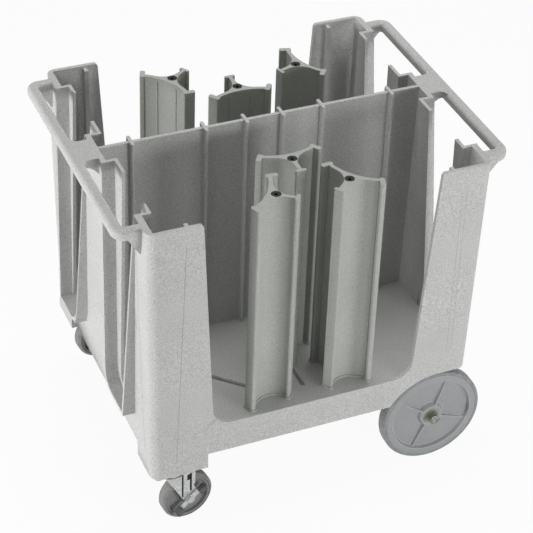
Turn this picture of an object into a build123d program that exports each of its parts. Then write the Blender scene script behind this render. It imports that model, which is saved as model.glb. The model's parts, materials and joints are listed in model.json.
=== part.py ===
from build123d import *
import math
import os

# Dish caddy: a moulded four-post body on two swivel casters and two large
# rear wheels, with a divider and six sliding towers that hold stacks in place.
# Millimetres. +X runs from the caster end to the big-wheel end, -Y is the near
# long side and Z = 0 is the floor under the middle of the body.

# Body levels
body_height = 842.0
deck_top = 280.0
deck_thickness = 8.0
skirt_bottom = 199.0
housing_bottom = 158.0

# Outer walls, at the top edge and at deck level
end_wall_top = 401.0
end_wall_deck = 392.3
long_wall_top = 352.0
long_wall_deck = 346.8
wall_thickness = 10.0
end_wall_thickness = 15.0
outer_corner_radius = 22.0

# Side openings in the long walls
side_opening_top = 277.0
side_opening_deck = 245.0
side_opening_corner = 46.0
side_opening_top_corner = 8.0
side_rail_half_length = 196.0

# Channels round the end openings, which lean out towards the floor
ridge_top = 401.6
ridge_deck = 421.0
channel_depth = 30.0
ridge_thickness = 8.0
flange_thickness = 8.0
column_half_width_top = 60.0
column_half_width_deck = 113.0
post_edge_top = 274.0
post_edge_deck = 235.0
column_flange_tip_top = 108.0
column_flange_tip_deck = 135.0
post_flange_tip_top = 235.0
post_flange_tip_deck = 222.0
column_thickness = 12.0
sill_overlap = 2.0
column_side_corner = 45.0
post_side_corner = 18.0
column_side_lip_corner = 40.0
post_side_lip_corner = 16.0
channel_corner_height = 60.0

# Rib inside each long wall
wall_rib_x = 309.0
wall_rib_width = 9.0
wall_rib_reach = 325.0
wall_rib_drop = 5.0

# Divider
divider_thickness = 9.0
divider_rib_places = (44.0, 142.0, 315.0)
divider_rib_width = 8.0
divider_rib_reach = 20.0
divider_rib_rise = 3.0

# Push handles
handle_inner_edge = 435.0
handle_bar_width = 26.0
handle_bar_height = 26.0
handle_bar_rounding = 9.0
handle_outer_side = 320.0
handle_bend_radius = 18.0
handle_block_half_width = 40.0
handle_block_drop = 62.0
handle_block_flare = 14.0
handle_block_rounding = 13.0
handle_arch_knee = 9.0
handle_gusset_drop = 72.0
handle_gusset_reach = 34.0
handle_gusset_tip = 4.0

# Caster housings
housing_length = 134.0
housing_width = 100.0
housing_floor = 12.0
housing_wall = 10.0
kingpin_pocket_gap = 1.0

# Wheel arches and rear wheels
rear_wheel_x = 320.0
rear_wheel_radius = 127.0
rear_tyre_thickness = 10.0
rear_wheel_width = 31.0
rear_wheel_outer_face = 334.0
arch_clearance = 13.0
rear_rim_inner_radius = 102.0
rear_disc_radius = 98.0
rear_hub_radius = 27.0
rear_hub_foot_radius = 34.0
rear_hub_rise = 1.0
rear_disc_thickness = 8.0
rear_disc_recess = 10.0
rear_rib_angles = (69.0, 147.0, 246.0, 337.0)
rear_rib_thickness = 3.5
rear_rib_hub_height = 9.0
rear_rib_rim_height = 3.0
rear_rib_overlap = 1.0
tyre_edge_rounding = 3.0
running_clearance = 0.05
rear_wheel_end_play = 0.3
axle_radius = 10.0
washer_radius = 17.0
washer_thickness = 2.5
cap_nut_radius = 14.0
cap_nut_height = 15.0
cap_nut_dome = 7.0
cap_nut_dome_radius = 11.5
bracket_plate_thickness = 6.0
bracket_outer_face = 240.0
bracket_half_length = 36.0
bracket_flange_width = 46.0
bracket_drop = 22.0
bracket_bolt_inset = 10.5

# Casters
caster_x = -334.0
caster_y = 314.0
caster_wheel_radius = 63.5
caster_trail = 36.0
caster_headings = {"near": 7.0, "far": 7.0}
caster_wheel_width = 32.0
caster_tyre_thickness = 9.0
caster_tyre_flank = 2.0
caster_tyre_rounding = 6.0
caster_rim_inset = 1.0
caster_rim_thickness = 4.5
caster_hub_radius = 16.0
caster_disc_thickness = 14.0
caster_hub_side_gap = 0.6
caster_plate_length = 95.0
caster_plate_width = 60.0
caster_plate_thickness = 4.0
caster_bolt_spacing_x = 73.0
caster_bolt_spacing_y = 40.0
caster_race_radius = 27.0
caster_race_height = 8.0
swivel_gap = 0.4
fork_thickness = 3.0
fork_crown_radius = 29.0
fork_side_gap = 2.0
fork_leg_half_width = 15.0
fork_leg_back = 22.0
kingpin_radius = 6.0
kingpin_head_radius = 10.0
kingpin_head_height = 5.0
caster_axle_radius = 5.0
caster_axle_head_radius = 8.5
caster_axle_head_height = 5.0
brake_tilt = 38.0
brake_half_length = 42.0
brake_lever_thickness = 4.0
brake_lever_half_height = 7.0
brake_boss_radius = 11.0
brake_gap = 0.4
brake_pad_length = 20.0
brake_pad_height = 15.0
brake_pad_width = 14.0
brake_pad_rounding = 3.0

# Bolts
bolt_radius = 4.0
bolt_head_radius = 6.5
bolt_head_height = 5.0
bracket_bolt_grip = 6.0

# Towers
tower_top = 830.5
tower_foot_gap = 0.3
tower_foot_thickness = 5.0
tower_foot_margin = 3.0
tower_arm_thickness = 9.0
tower_arm_radius = 140.0
tower_arm_centre = 160.0
tower_arm_half_span = 60.0
tower_head_length = 28.0
tower_head_width = 12.0
tower_head_rounding = 4.0
tower_head_place = (26.3, 67.0)
tower_head_turn = 35.0
tower_short_arm = 52.0
tower_short_arm_width = 9.0
tower_short_head_length = 25.0
tower_short_head_width = 8.0
tower_short_head_rounding = 3.0
tower_hollow_radius = 46.0
tower_rib_place = 27.0
tower_rib_width = 4.0
tower_rib_height = 2.0
tower_rib_drop = 10.0
tower_socket_radius = 11.5
tower_socket_depth = 16.0
tower_rod_radius = 5.0
tower_rod_head_radius = 10.8
tower_rod_head_height = 14.5
tower_rod_socket_radius = 4.5
tower_rod_socket_depth = 6.0
clamp_plate_length = 44.0
clamp_plate_width = 30.0
clamp_plate_thickness = 8.0
clamp_gap = 0.3
clamp_nut_radius = 9.0
clamp_nut_height = 9.0

# Slots that the towers slide along
slot_width = 13.0
diagonal_slot_outer = (80.0, 287.0)
diagonal_slot_inner = (185.0, 187.0)
straight_slot_outer = (0.0, 282.0)
straight_slot_inner = (0.0, 95.0)

# Where each tower stands: its side of the body, the slot, the distance of its
# rod from the slot's outer end, and the direction its broad face looks
tower_places = {
    "far_left": (-1, 1, "diagonal", 67.7, 213.5),
    "far_middle": (1, 1, "straight", 126.0, 270.0),
    "far_right": (1, 1, "diagonal", 121.0, 18.8),
    "near_middle": (1, -1, "straight", 115.0, 90.0),
    "near_left": (-1, -1, "diagonal", 8.3, 144.0),
    "near_right": (1, -1, "diagonal", 7.7, 40.0),
}

# Sizes that follow from the ones above
deck_bottom = deck_top - deck_thickness
far_outside = 2 * body_height
arch_radius = rear_wheel_radius + arch_clearance
handle_centre_x = handle_inner_edge + handle_bar_width / 2
handle_centre_y = handle_outer_side - handle_bar_width / 2
handle_centre_z = body_height - handle_bar_height / 2
post_overlap = ridge_thickness / 2


def leaning(at_top, at_deck, height):
    """A size that changes evenly from deck level to the top edge."""
    share = (height - deck_top) / (body_height - deck_top)
    return at_deck + (at_top - at_deck) * share


def end_wall(height):
    return leaning(end_wall_top, end_wall_deck, height)


def long_wall(height):
    return leaning(long_wall_top, long_wall_deck, height)


def ridge(height):
    return leaning(ridge_top, ridge_deck, height)


def column_half_width(height):
    return leaning(column_half_width_top, column_half_width_deck, height)


def post_edge(height):
    return leaning(post_edge_top, post_edge_deck, height)


def placed(points, side_x, side_y):
    """Points of the +X +Y quadrant, mirrored into another one."""
    moved = [(side_x * x, side_y * y) for x, y in points]
    return moved if side_x * side_y > 0 else moved[::-1]


def save(piece, name):
    piece.part.label = name
    export_step(piece.part, f"parts/{name}.step")


def channel_outline(height, edge, edge_side, tip):
    """Ridge and flange beside an end opening. The ridge stands on the side of
    its edge that edge_side names: 1 towards the long wall, -1 towards the middle."""
    outer = ridge(height)
    flange = outer - channel_depth
    back = edge + edge_side * ridge_thickness
    return [
        (outer, edge),
        (outer, back),
        (flange - flange_thickness, back),
        (flange - flange_thickness, tip),
        (flange, tip),
        (flange, edge),
    ]


def post_channel_outline(height):
    tip = leaning(post_flange_tip_top, post_flange_tip_deck, height)
    return channel_outline(height, post_edge(height) - ridge_thickness, 1, tip)


def column_channel_outline(height):
    tip = leaning(column_flange_tip_top, column_flange_tip_deck, height)
    return channel_outline(height, column_half_width(height), -1, tip)


def post_wall_outline(height):
    outer_x = end_wall(height)
    outer_y = long_wall(height)
    edge = post_edge(height) - post_overlap
    return [
        (outer_x, outer_y),
        (outer_x, edge),
        (outer_x - end_wall_thickness, edge),
        (outer_x - end_wall_thickness, outer_y - wall_thickness),
        (side_rail_half_length, outer_y - wall_thickness),
        (side_rail_half_length, outer_y),
    ]


def frame_waste(side_x, side_y):
    """What is cut away round the lower corners of an end opening's frame, which
    stands out from the end wall."""
    corner_top = deck_top + channel_corner_height
    back_of_column_ridge = column_half_width_deck - ridge_thickness
    with BuildPart() as waste:
        with BuildSketch(Plane.YZ):
            Polygon(
                (side_y * (back_of_column_ridge - ridge_thickness), deck_bottom),
                (side_y * (post_edge_deck + ridge_thickness), deck_bottom),
                (side_y * (post_edge_deck + ridge_thickness), corner_top),
                (side_y * (back_of_column_ridge - ridge_thickness), corner_top),
                align=None,
            )
        extrude(amount=side_x * far_outside)
        with BuildSketch(Plane.YZ) as frame_outline:
            Polygon(
                (side_y * (column_half_width(deck_bottom) - ridge_thickness), deck_bottom),
                (side_y * post_edge(deck_bottom), deck_bottom),
                (side_y * post_edge_top, body_height),
                (side_y * (column_half_width_top - ridge_thickness), body_height),
                align=None,
            )
            lower_corners = frame_outline.vertices().sort_by_distance((0, deck_bottom, 0))
            fillet(lower_corners[0], column_side_corner + ridge_thickness)
            fillet(lower_corners[1], post_side_corner + ridge_thickness)
        extrude(amount=side_x * far_outside, mode=Mode.SUBTRACT)
        for height in (deck_bottom, body_height):
            with BuildSketch(Plane.XY.offset(height)):
                Rectangle(2 * end_wall(height), 2 * long_wall_top)
        loft(ruled=True, mode=Mode.SUBTRACT)
    return waste.part


def corner_post(side_x, side_y):
    """One corner of the body: two walls, an inner rib and half an end channel."""
    with BuildPart() as post:
        for height in (skirt_bottom, body_height):
            with BuildSketch(Plane.XY.offset(height)):
                Polygon(*placed(post_wall_outline(height), side_x, side_y), align=None)
        loft(ruled=True)
        corner = (side_x * far_outside, side_y * far_outside, body_height / 2)
        fillet(post.edges().sort_by_distance(corner)[0], outer_corner_radius)
        for height in (deck_top, body_height):
            with BuildSketch(Plane.XY.offset(height)):
                Polygon(*placed(post_channel_outline(height), side_x, side_y), align=None)
        loft(ruled=True)
        add(frame_waste(side_x, side_y), mode=Mode.SUBTRACT)
        rib_back = long_wall_deck - wall_thickness / 2
        with BuildSketch(Plane.XY.offset(deck_top)):
            with Locations((side_x * wall_rib_x, side_y * (wall_rib_reach + rib_back) / 2)):
                Rectangle(wall_rib_width, rib_back - wall_rib_reach)
        extrude(amount=body_height - wall_rib_drop - deck_top)
        with BuildSketch(Plane.XZ) as opening:
            Polygon(
                (-side_opening_top, body_height),
                (-side_opening_deck, deck_top),
                (side_opening_deck, deck_top),
                (side_opening_top, body_height),
                align=None,
            )
            fillet(opening.vertices().group_by(Axis.Y)[0], side_opening_corner)
        extrude(amount=far_outside, both=True, mode=Mode.SUBTRACT)
        top_corner = (side_x * side_opening_top, side_y * long_wall_top, body_height)
        fillet(post.edges().filter_by(Axis.Y).sort_by_distance(top_corner)[0], side_opening_top_corner)
        if side_x > 0:
            with BuildSketch(Plane.XZ):
                with Locations((rear_wheel_x, rear_wheel_radius)):
                    Circle(arch_radius)
                    Rectangle(far_outside, 2 * arch_radius, align=(Align.MIN, Align.CENTER))
            extrude(amount=far_outside, both=True, mode=Mode.SUBTRACT)
    return post


def end_column(side_x):
    """Middle upright of an end wall, with a flanged channel on both sides."""
    with BuildPart() as column:
        for height in (deck_top, body_height):
            outer = end_wall(height)
            with BuildSketch(Plane.XY.offset(height)):
                with Locations((side_x * (outer - column_thickness / 2), 0)):
                    Rectangle(column_thickness, 2 * column_half_width(height) - ridge_thickness)
        loft(ruled=True)
        for side_y in (1, -1):
            for height in (deck_top, body_height):
                with BuildSketch(Plane.XY.offset(height)):
                    outline = column_channel_outline(height)
                    Polygon(*placed(outline, side_x, side_y), align=None)
            loft(ruled=True)
            add(frame_waste(side_x, side_y), mode=Mode.SUBTRACT)
    return column


def side_rail(side_y):
    """Plain lower rail of a long side, between two corner posts."""
    with BuildPart() as rail:
        for height in (skirt_bottom, deck_top):
            middle = side_y * (long_wall(height) - wall_thickness / 2)
            with BuildSketch(Plane.XY.offset(height)):
                with Locations((0, middle)):
                    Rectangle(2 * side_rail_half_length, wall_thickness)
        loft(ruled=True)
    return rail


def channel_corners(side_x, side_y, outline, column_side_radius, post_side_radius):
    """The two rounded lower corners of an end channel. The outline function gives
    the channel's back, front, low and high edge at a height."""
    corner_top = deck_top + channel_corner_height
    with BuildPart() as corners:
        for height in (deck_top, corner_top):
            back, front, low, high = outline(height)
            block = [(back, low), (front, low), (front, high), (back, high)]
            with BuildSketch(Plane.XY.offset(height)):
                Polygon(*placed(block, side_x, side_y), align=None)
        loft(ruled=True)
        with BuildSketch(Plane.YZ) as hollow:
            low, high = outline(deck_top)[2:]
            low_above, high_above = outline(body_height)[2:]
            Polygon(
                (side_y * low, deck_top),
                (side_y * high, deck_top),
                (side_y * high_above, body_height),
                (side_y * low_above, body_height),
                align=None,
            )
            lower_corners = hollow.vertices().sort_by_distance((0, deck_top, 0))
            fillet(lower_corners[0], column_side_radius)
            fillet(lower_corners[1], post_side_radius)
        extrude(amount=far_outside, both=True, mode=Mode.SUBTRACT)
    return corners.part


def channel_space(height):
    front = ridge(height)
    low = column_half_width(height)
    high = post_edge(height) - ridge_thickness
    return front - channel_depth, front, low, high


def lip_space(height):
    front = ridge(height) - channel_depth
    low = leaning(column_flange_tip_top, column_flange_tip_deck, height)
    high = leaning(post_flange_tip_top, post_flange_tip_deck, height)
    return front - flange_thickness, front, low, high


def end_rail(side_x):
    """Lower rail of an end wall with the sills of its two end openings."""
    with BuildPart() as rail:
        for height in (skirt_bottom, deck_top):
            middle = side_x * (end_wall(height) - end_wall_thickness / 2)
            with BuildSketch(Plane.XY.offset(height)):
                with Locations((middle, 0)):
                    Rectangle(end_wall_thickness, 2 * (post_edge(height) - post_overlap))
        loft(ruled=True)
        for side_y in (1, -1):
            for height in (deck_bottom, deck_top):
                inner_edge = column_half_width_deck - ridge_thickness
                outer_edge = post_edge(height)
                sill = [
                    (end_wall(height) - sill_overlap, inner_edge),
                    (ridge(height), inner_edge),
                    (ridge(height), outer_edge),
                    (end_wall(height), outer_edge),
                    (end_wall(height), outer_edge - post_overlap),
                    (end_wall(height) - sill_overlap, outer_edge - post_overlap),
                ]
                with BuildSketch(Plane.XY.offset(height)):
                    Polygon(*placed(sill, side_x, side_y), align=None)
            loft(ruled=True)
            add(frame_waste(side_x, side_y), mode=Mode.SUBTRACT)
            add(channel_corners(side_x, side_y, channel_space, column_side_corner, post_side_corner))
            add(channel_corners(side_x, side_y, lip_space, column_side_lip_corner, post_side_lip_corner))
    return rail


def slot_line(kind, side_x, side_y):
    """Centres of the two end arcs of a tower slot, outer end first."""
    ends = {
        "diagonal": (diagonal_slot_outer, diagonal_slot_inner),
        "straight": (straight_slot_outer, straight_slot_inner),
    }
    return [(side_x * x, side_y * y) for x, y in ends[kind]]


def floor_deck():
    """Floor plate with six slots for the towers."""
    with BuildPart() as deck:
        for height in (deck_bottom, deck_top):
            length = 2 * (end_wall(height) - end_wall_thickness)
            width = 2 * (long_wall(height) - wall_thickness)
            with BuildSketch(Plane.XY.offset(height)):
                Rectangle(length, width)
        loft(ruled=True)
        with BuildSketch(Plane.XY.offset(deck_top)):
            for side_x, side_y, kind, travel, looks in tower_places.values():
                outer, inner = slot_line(kind, side_x, side_y)
                middle = ((outer[0] + inner[0]) / 2, (outer[1] + inner[1]) / 2)
                length = math.hypot(inner[0] - outer[0], inner[1] - outer[1])
                turn = math.degrees(math.atan2(inner[1] - outer[1], inner[0] - outer[0]))
                with Locations(middle):
                    SlotCenterToCenter(length, slot_width, rotation=turn)
        extrude(amount=-deck_thickness, mode=Mode.SUBTRACT)
        with BuildSketch(Plane.XY.offset(deck_bottom)):
            for side_y in (1, -1):
                with Locations(*bracket_bolt_places(side_y)):
                    Circle(bolt_radius)
        extrude(amount=bracket_bolt_grip, mode=Mode.SUBTRACT)
    return deck


def centre_divider():
    """Upright wall along the middle, between the two end columns."""
    with BuildPart() as divider:
        for height in (deck_top, body_height):
            length = 2 * (end_wall(height) - column_thickness)
            with BuildSketch(Plane.XY.offset(height)):
                Rectangle(length, divider_thickness)
        loft(ruled=True)
    return divider


def divider_ribs():
    """Three pairs of rounded ribs that straddle the divider."""
    places = [(side * x, 0) for x in divider_rib_places for side in (1, -1)]
    with BuildPart() as ribs:
        with BuildSketch(Plane.XY.offset(deck_top)):
            with Locations(*places):
                SlotOverall(2 * divider_rib_reach, divider_rib_width, rotation=90)
        extrude(amount=body_height + divider_rib_rise - deck_top)
        with BuildSketch(Plane.XY.offset(deck_top)):
            Rectangle(2 * end_wall_deck, divider_thickness)
        extrude(amount=body_height - deck_top, mode=Mode.SUBTRACT)
    return ribs


def handle_block(side_x):
    """Block between the handle bar and the end column, arched underneath."""
    flare_x = handle_inner_edge - handle_block_flare
    flare_y = handle_block_half_width + handle_block_flare
    buried_x = handle_inner_edge + handle_bar_rounding
    block_bottom = body_height - handle_block_drop
    arch_end = body_height - handle_bar_height / 2
    with BuildPart() as block:
        with BuildSketch(Plane.XY.offset(body_height)) as plan:
            outline = [
                (end_wall_deck, handle_block_half_width),
                (handle_inner_edge, handle_block_half_width),
                (handle_inner_edge, flare_y),
                (buried_x, flare_y),
                (buried_x, -flare_y),
                (handle_inner_edge, -flare_y),
                (handle_inner_edge, -handle_block_half_width),
                (end_wall_deck, -handle_block_half_width),
            ]
            Polygon(*placed(outline, side_x, 1), align=None)
            bar_corners = plan.vertices().sort_by_distance((side_x * handle_inner_edge, 0, body_height))[:2]
            fillet(bar_corners, handle_block_rounding)
        extrude(amount=-handle_block_drop)
        with BuildSketch(Plane.XZ):
            with BuildLine():
                foot = (side_x * end_wall_deck, block_bottom)
                knee = (side_x * flare_x, arch_end - handle_arch_knee)
                neck = (side_x * buried_x, arch_end)
                below_neck = (side_x * buried_x, deck_top)
                below_foot = (side_x * end_wall_deck, deck_top)
                ThreePointArc(foot, knee, neck)
                Polyline(neck, below_neck, below_foot, foot)
            make_face()
        extrude(amount=far_outside, both=True, mode=Mode.SUBTRACT)
    return block.part


def push_handle(side_x):
    """Handle bar round one end: bar, middle block and two gussets."""
    path_points = [
        (side_x * end_wall_deck, handle_centre_y),
        (side_x * handle_centre_x, handle_centre_y),
        (side_x * handle_centre_x, -handle_centre_y),
        (side_x * end_wall_deck, -handle_centre_y),
    ]
    bar_bottom = body_height - handle_bar_height
    gusset_top = bar_bottom + handle_bar_rounding
    gusset_bottom = body_height - handle_gusset_drop
    with BuildPart() as handle:
        with BuildLine(Plane.XY.offset(handle_centre_z)) as path:
            FilletPolyline(*path_points, radius=handle_bend_radius)
        with BuildSketch(Plane(origin=path.line @ 0, z_dir=path.line % 0)):
            RectangleRounded(handle_bar_width, handle_bar_height, handle_bar_rounding)
        sweep(path=path.line)
        add(handle_block(side_x))
        for side_y in (1, -1):
            middle_y = side_y * handle_centre_y
            with BuildSketch(Plane.XY.offset(gusset_top)):
                with Locations((side_x * (end_wall_top + handle_gusset_reach / 2), middle_y)):
                    Rectangle(handle_gusset_reach, handle_bar_width)
            with BuildSketch(Plane.XY.offset(gusset_bottom)):
                with Locations((side_x * end_wall(gusset_bottom), middle_y)):
                    Rectangle(handle_gusset_tip, handle_gusset_tip)
            loft(ruled=True)
        for height in (deck_top, body_height):
            with BuildSketch(Plane.XY.offset(height)):
                Rectangle(2 * end_wall(height), 2 * long_wall_top)
        loft(ruled=True, mode=Mode.SUBTRACT)
    return handle


def caster_housing(side_y):
    """Hollow block under a corner of the caster end, which carries the caster."""
    lid = deck_bottom
    with BuildPart() as housing:
        for height in (housing_bottom, skirt_bottom):
            outer_x = -end_wall(height)
            outer_y = long_wall(height)
            foot = [
                (outer_x, outer_y),
                (outer_x, outer_y - housing_width),
                (outer_x + housing_length, outer_y - housing_width),
                (outer_x + housing_length, outer_y),
            ]
            with BuildSketch(Plane.XY.offset(height)):
                Polygon(*placed(foot, 1, side_y), align=None)
        loft(ruled=True)
        corner = (-far_outside, side_y * far_outside, (housing_bottom + skirt_bottom) / 2)
        fillet(housing.edges().sort_by_distance(corner)[0], outer_corner_radius)
        inner_x = -end_wall(skirt_bottom) + end_wall_thickness
        inner_y = long_wall(skirt_bottom) - wall_thickness
        box_length = -end_wall(skirt_bottom) + housing_length - inner_x
        box_width = inner_y - (long_wall(skirt_bottom) - housing_width)
        box_middle = (inner_x + box_length / 2, side_y * (inner_y - box_width / 2))
        with BuildSketch(Plane.XY.offset(skirt_bottom)):
            with Locations(box_middle):
                Rectangle(box_length, box_width)
        extrude(amount=lid - skirt_bottom)
        with BuildSketch(Plane.XY.offset(housing_bottom + housing_floor)):
            with Locations(box_middle):
                Rectangle(box_length - 2 * housing_wall, box_width - 2 * housing_wall)
        extrude(amount=lid - housing_bottom - housing_floor, mode=Mode.SUBTRACT)
        with BuildSketch(Plane.XY.offset(housing_bottom)):
            with Locations((caster_x, side_y * caster_y)):
                with GridLocations(caster_bolt_spacing_x, caster_bolt_spacing_y, 2, 2):
                    Circle(bolt_radius)
        extrude(amount=housing_floor, mode=Mode.SUBTRACT)
        with BuildSketch(Plane.XY.offset(housing_bottom)):
            with Locations((caster_x, side_y * caster_y)):
                Circle(kingpin_head_radius + kingpin_pocket_gap)
        extrude(amount=kingpin_head_height + kingpin_pocket_gap, mode=Mode.SUBTRACT)
    return housing


def bracket_bolt_places(side_y):
    middle = bracket_outer_face - bracket_flange_width / 2
    step = bracket_half_length - bracket_bolt_inset
    return [(rear_wheel_x - step, side_y * middle), (rear_wheel_x + step, side_y * middle)]


def axle_brackets():
    """Two steel brackets under the deck that carry the rear axle."""
    with BuildPart() as brackets:
        for side_y in (1, -1):
            plate_side = Plane(
                origin=(rear_wheel_x, side_y * bracket_outer_face, 0), x_dir=(1, 0, 0), z_dir=(0, -1, 0)
            )
            with BuildSketch(plate_side):
                Polygon(
                    (-bracket_half_length, deck_bottom),
                    (-bracket_drop, rear_wheel_radius),
                    (bracket_drop, rear_wheel_radius),
                    (bracket_half_length, deck_bottom),
                    align=None,
                )
                with Locations((0, rear_wheel_radius)):
                    Circle(bracket_drop)
            extrude(amount=side_y * bracket_plate_thickness)
            with BuildSketch(Plane.XY.offset(deck_bottom)):
                with Locations((rear_wheel_x, side_y * (bracket_outer_face - bracket_flange_width / 2))):
                    Rectangle(2 * bracket_half_length, bracket_flange_width)
            extrude(amount=-bracket_plate_thickness)
            with BuildSketch(Plane.XY.offset(deck_bottom)):
                with Locations(*bracket_bolt_places(side_y)):
                    Circle(bolt_radius)
            extrude(amount=-bracket_plate_thickness, mode=Mode.SUBTRACT)
        with BuildSketch(Plane.XZ):
            with Locations((rear_wheel_x, rear_wheel_radius)):
                Circle(axle_radius)
        extrude(amount=far_outside, both=True, mode=Mode.SUBTRACT)
    return brackets


def bracket_bolts():
    with BuildPart() as bolts:
        for side_y in (1, -1):
            with BuildSketch(Plane.XY.offset(deck_bottom + bracket_bolt_grip)):
                with Locations(*bracket_bolt_places(side_y)):
                    Circle(bolt_radius)
            extrude(amount=-bracket_bolt_grip - bracket_plate_thickness)
            with BuildSketch(Plane.XY.offset(deck_bottom - bracket_plate_thickness)):
                with Locations(*bracket_bolt_places(side_y)):
                    RegularPolygon(bolt_head_radius, 6)
            extrude(amount=-bolt_head_height)
    return bolts


def turned(outline, side_y):
    """Solid of revolution about the rear axle. Points are distance from the
    middle plane of the body and radius."""
    with BuildPart() as round_piece:
        with BuildSketch(Plane.YZ.offset(rear_wheel_x)):
            points = [(side_y * y, rear_wheel_radius + r) for y, r in outline]
            Polygon(*points, align=None)
        revolve(axis=Axis((rear_wheel_x, 0, rear_wheel_radius), (0, 1, 0)))
    return round_piece.part


def rear_wheel(side_y):
    """Disc wheel: conical hub, thin disc, four ribs that fall towards the rim, and rim."""
    outer = rear_wheel_outer_face
    inner = outer - rear_wheel_width
    rim = rear_wheel_radius - rear_tyre_thickness
    bore = axle_radius + running_clearance
    disc_outer = outer - rear_disc_recess
    disc_inner = disc_outer - rear_disc_thickness
    hub_outer = outer + rear_hub_rise
    outline = [
        (inner, bore),
        (hub_outer, bore),
        (hub_outer, rear_hub_radius),
        (disc_outer, rear_hub_foot_radius),
        (disc_outer, rear_disc_radius),
        (outer, rear_rim_inner_radius),
        (outer, rim),
        (inner, rim),
        (inner, rear_rim_inner_radius),
        (disc_inner, rear_disc_radius),
        (disc_inner, rear_hub_foot_radius),
        (inner, rear_hub_radius),
    ]
    outward = Vector(0, side_y, 0)
    with BuildPart() as wheel:
        add(turned(outline, side_y))
        for angle in rear_rib_angles:
            along = Vector(math.cos(math.radians(angle)), 0, math.sin(math.radians(angle)))
            foot = Vector(rear_wheel_x, side_y * disc_outer, rear_wheel_radius)
            with BuildSketch(Plane(origin=foot, x_dir=along, z_dir=along.cross(outward))):
                Polygon(
                    (rear_hub_radius - rear_rib_overlap, -rear_rib_overlap),
                    (rear_rim_inner_radius, -rear_rib_overlap),
                    (rear_rim_inner_radius, rear_rib_rim_height),
                    (rear_hub_radius - rear_rib_overlap, rear_rib_hub_height),
                    align=None,
                )
            extrude(amount=rear_rib_thickness / 2, both=True)
    return wheel


def rear_tyre(side_y):
    outer = rear_wheel_outer_face
    inner = outer - rear_wheel_width
    rim = rear_wheel_radius - rear_tyre_thickness
    soft = tyre_edge_rounding
    outline = [
        (inner, rim),
        (outer, rim),
        (outer, rear_wheel_radius - soft),
        (outer - soft, rear_wheel_radius),
        (inner + soft, rear_wheel_radius),
        (inner, rear_wheel_radius - soft),
    ]
    with BuildPart() as tyre:
        add(turned(outline, side_y))
    return tyre


def rear_axle():
    """Fixed steel axle with a collar behind each wheel."""
    thread_end = rear_wheel_outer_face + rear_hub_rise + washer_thickness + cap_nut_height
    collar = rear_wheel_outer_face - rear_wheel_width - rear_wheel_end_play
    with BuildPart() as axle:
        with BuildSketch(Plane.XZ):
            with Locations((rear_wheel_x, rear_wheel_radius)):
                Circle(axle_radius)
        extrude(amount=thread_end, both=True)
        for side_y in (1, -1):
            with BuildSketch(Plane.XZ.offset(-side_y * bracket_outer_face)):
                with Locations((rear_wheel_x, rear_wheel_radius)):
                    Circle(washer_radius)
            extrude(amount=-side_y * (collar - bracket_outer_face))
    return axle


def wheel_washers():
    start = rear_wheel_outer_face + rear_hub_rise + rear_wheel_end_play
    end = rear_wheel_outer_face + rear_hub_rise + washer_thickness
    with BuildPart() as washers:
        for side_y in (1, -1):
            outline = [(start, axle_radius), (end, axle_radius), (end, washer_radius), (start, washer_radius)]
            add(turned(outline, side_y))
    return washers


def cap_nuts():
    """Domed nuts on the ends of the rear axle."""
    start = rear_wheel_outer_face + rear_hub_rise + washer_thickness
    flat = start + cap_nut_height
    with BuildPart() as nuts:
        for side_y in (1, -1):
            with BuildSketch(Plane.XZ.offset(-side_y * start)):
                with Locations((rear_wheel_x, rear_wheel_radius)):
                    RegularPolygon(cap_nut_radius, 6)
                    Circle(axle_radius, mode=Mode.SUBTRACT)
            extrude(amount=-side_y * cap_nut_height)
            tip = flat + cap_nut_dome
            dome = [(flat, 0), (tip, 0), (tip, axle_radius / 2), (flat, cap_nut_dome_radius)]
            add(turned(dome, side_y))
    return nuts


class CasterFrame:
    """Places of one caster: its kingpin, the way it trails and its wheel centre."""

    def __init__(self, side):
        turn = math.radians(caster_headings[side])
        side_y = 1 if side == "far" else -1
        self.trail_way = Vector(math.cos(turn), math.sin(turn), 0)
        self.axle_way = Vector(-math.sin(turn), math.cos(turn), 0)
        self.foot = Vector(caster_x, side_y * caster_y, 0)
        self.wheel_centre = self.foot + self.trail_way * caster_trail + Vector(0, 0, caster_wheel_radius)

    def level(self, height):
        """Level plane on the kingpin's axis, its X along the trail."""
        return Plane(origin=self.foot + Vector(0, 0, height), x_dir=self.trail_way, z_dir=(0, 0, 1))

    def side(self, offset):
        """Upright plane beside the wheel, its X along the trail and its origin on
        the axle's line."""
        return Plane(
            origin=self.wheel_centre - self.axle_way * offset, x_dir=self.trail_way, z_dir=self.axle_way * -1
        )

    def section(self):
        """Upright plane through the axle, its X along the axle."""
        return Plane(origin=self.wheel_centre, x_dir=self.axle_way, z_dir=self.trail_way)

    def axle(self):
        return Axis(self.wheel_centre, self.axle_way)


plate_bottom = housing_bottom - caster_plate_thickness
race_bottom = plate_bottom - caster_race_height
crown_top = race_bottom - swivel_gap
crown_bottom = crown_top - fork_thickness
fork_inner = caster_wheel_width / 2 + fork_side_gap
fork_outer = fork_inner + fork_thickness


def caster_top_plates():
    """Bolted plate and upper bearing race of both casters."""
    with BuildPart() as plates:
        for side_y in (1, -1):
            middle = (caster_x, side_y * caster_y)
            with BuildSketch(Plane.XY.offset(housing_bottom)):
                with Locations(middle):
                    RectangleRounded(caster_plate_length, caster_plate_width, bolt_head_radius)
            extrude(amount=-caster_plate_thickness)
            with BuildSketch(Plane.XY.offset(plate_bottom)):
                with Locations(middle):
                    Circle(caster_race_radius)
            extrude(amount=-caster_race_height)
            with BuildSketch(Plane.XY.offset(housing_bottom)):
                with Locations(middle):
                    Circle(kingpin_radius + running_clearance)
                    with GridLocations(caster_bolt_spacing_x, caster_bolt_spacing_y, 2, 2):
                        Circle(bolt_radius)
            extrude(amount=race_bottom - housing_bottom, mode=Mode.SUBTRACT)
    return plates


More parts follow.
